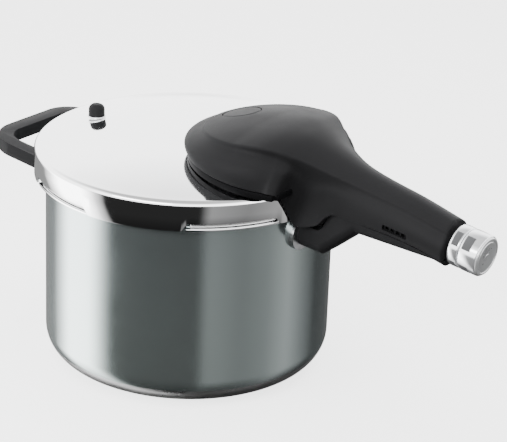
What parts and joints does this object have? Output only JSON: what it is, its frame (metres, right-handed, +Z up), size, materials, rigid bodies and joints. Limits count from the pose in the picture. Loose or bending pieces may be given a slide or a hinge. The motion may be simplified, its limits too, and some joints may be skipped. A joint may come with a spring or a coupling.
{
  "type": "stovetop pressure cooker",
  "caption": "Tall coated pot with a domed bayonet lid, a side handle, and a long two-part handle whose lid half has a round head, pressure button and turning end knob.",
  "frame": {"origin": "middle of the pot's flat base, on the surface it stands on", "axes": "+Z up along the pot's axis; +X along the two long handles; the lid turns about +Z"},
  "size_m": [0.4455, 0.2426, 0.2172],
  "materials": {
    "pot_coating": "glossy metallic enamel",
    "polished_steel": "mirror polished",
    "brushed_steel": "fine brushed",
    "spring_steel": "drawn wire",
    "handle_plastic": "fine satin grain",
    "dark_plastic": "matte",
    "bearing_plastic": "matte",
    "warning_plastic": "matte",
    "seal_rubber": "matte",
    "membrane_rubber": "matte",
    "knob_chrome": "polished",
    "knob_end": "turned"
  },
  "bodies": {
    "pot": {"pot_body": "pot_coating", "flame_guard": "brushed_steel", "pot_bracket": "brushed_steel", "pot_handle": "handle_plastic", "pot_handle_screw": "brushed_steel", "side_handle": "handle_plastic", "side_studs": "brushed_steel", "side_screws": "brushed_steel"},
    "lid": {"lid_shell": "polished_steel", "sealing_ring": "seal_rubber", "handle_base": "dark_plastic", "handle_cover": "handle_plastic", "cover_screws": "brushed_steel", "steam_vent": "dark_plastic", "handle_floor": "dark_plastic", "rod_bearings": "bearing_plastic", "knob_collar": "knob_chrome", "lever_bracket": "brushed_steel", "lever_pin": "brushed_steel", "valve_seat": "brushed_steel", "valve_nut": "brushed_steel", "valve_cage": "bearing_plastic", "indicator_bush": "brushed_steel", "indicator_nut": "brushed_steel", "indicator_membrane": "membrane_rubber", "indicator_housing": "bearing_plastic", "handle_stud": "brushed_steel", "stud_nut": "brushed_steel", "safety_bush": "brushed_steel"},
    "knob": {"control_rod": "brushed_steel", "rod_clip": "spring_steel", "bolt_cam": "bearing_plastic", "knob_grip": "knob_chrome", "knob_screw": "brushed_steel", "knob_face": "knob_end"},
    "lock_bolt": {"lock_bolt": "brushed_steel"},
    "preload_lever": {"preload_lever": "brushed_steel"},
    "preload_cap": {"preload_cap": "bearing_plastic"},
    "main_valve": {"valve_plug": "brushed_steel", "valve_spring": "spring_steel"},
    "indicator": {"indicator_stem": "brushed_steel", "indicator_cap": "handle_plastic", "indicator_rings": "warning_plastic", "indicator_spring": "spring_steel"},
    "safety_valve": {"safety_pin": "brushed_steel", "safety_cap": "dark_plastic", "safety_spring": "spring_steel"}
  },
  "joints": [
    {"name": "lid_turn", "type": "hinge", "parent": "pot", "child": "lid", "pos_m": [0, 0, 0], "axis": [0, 0, 1], "range_deg": [0, 36]},
    {"name": "knob_turn", "type": "hinge", "parent": "lid", "child": "knob", "pos_m": [0.2463, 0, 0.1604], "axis": [0.9925, 0, -0.1219], "range_deg": [0, 90]},
    {"name": "bolt_slide", "type": "slide", "parent": "lid", "child": "lock_bolt", "axis": [-0.1219, 0, -0.9925], "range_m": [0, 0.00566]},
    {"name": "lever_tilt", "type": "hinge", "parent": "lid", "child": "preload_lever", "pos_m": [0.076, 0, 0.2002], "axis": [0, 1, 0], "range_deg": [0, 5.5]},
    {"name": "preload_slide", "type": "slide", "parent": "lid", "child": "preload_cap", "axis": [0, 0, -1], "range_m": [0, 0.00151], "deforming": ["valve_spring"]},
    {"name": "valve_lift", "type": "slide", "parent": "lid", "child": "main_valve", "axis": [0, 0, 1], "range_m": [0, 0.0008], "stiffness_N_per_m": 2000, "springref_m": -0.003, "deforming": ["valve_spring"]},
    {"name": "indicator_rise", "type": "slide", "parent": "lid", "child": "indicator", "axis": [0, 0, 1], "range_m": [0, 0.008], "stiffness_N_per_m": 150, "springref_m": -0.004, "deforming": ["indicator_spring"]},
    {"name": "safety_lift", "type": "slide", "parent": "lid", "child": "safety_valve", "axis": [0, 0, 1], "range_m": [0, 0.0025], "stiffness_N_per_m": 1500, "springref_m": -0.003, "deforming": ["safety_spring"]}
  ],
  "couplings": [
    {"joint": "knob_turn", "follows": "bolt_slide", "rad_per_m": 277.68},
    {"joint": "lever_tilt", "follows": "bolt_slide", "rad_per_m": 16.698},
    {"joint": "preload_slide", "follows": "bolt_slide", "ratio": 0.26518}
  ]
}
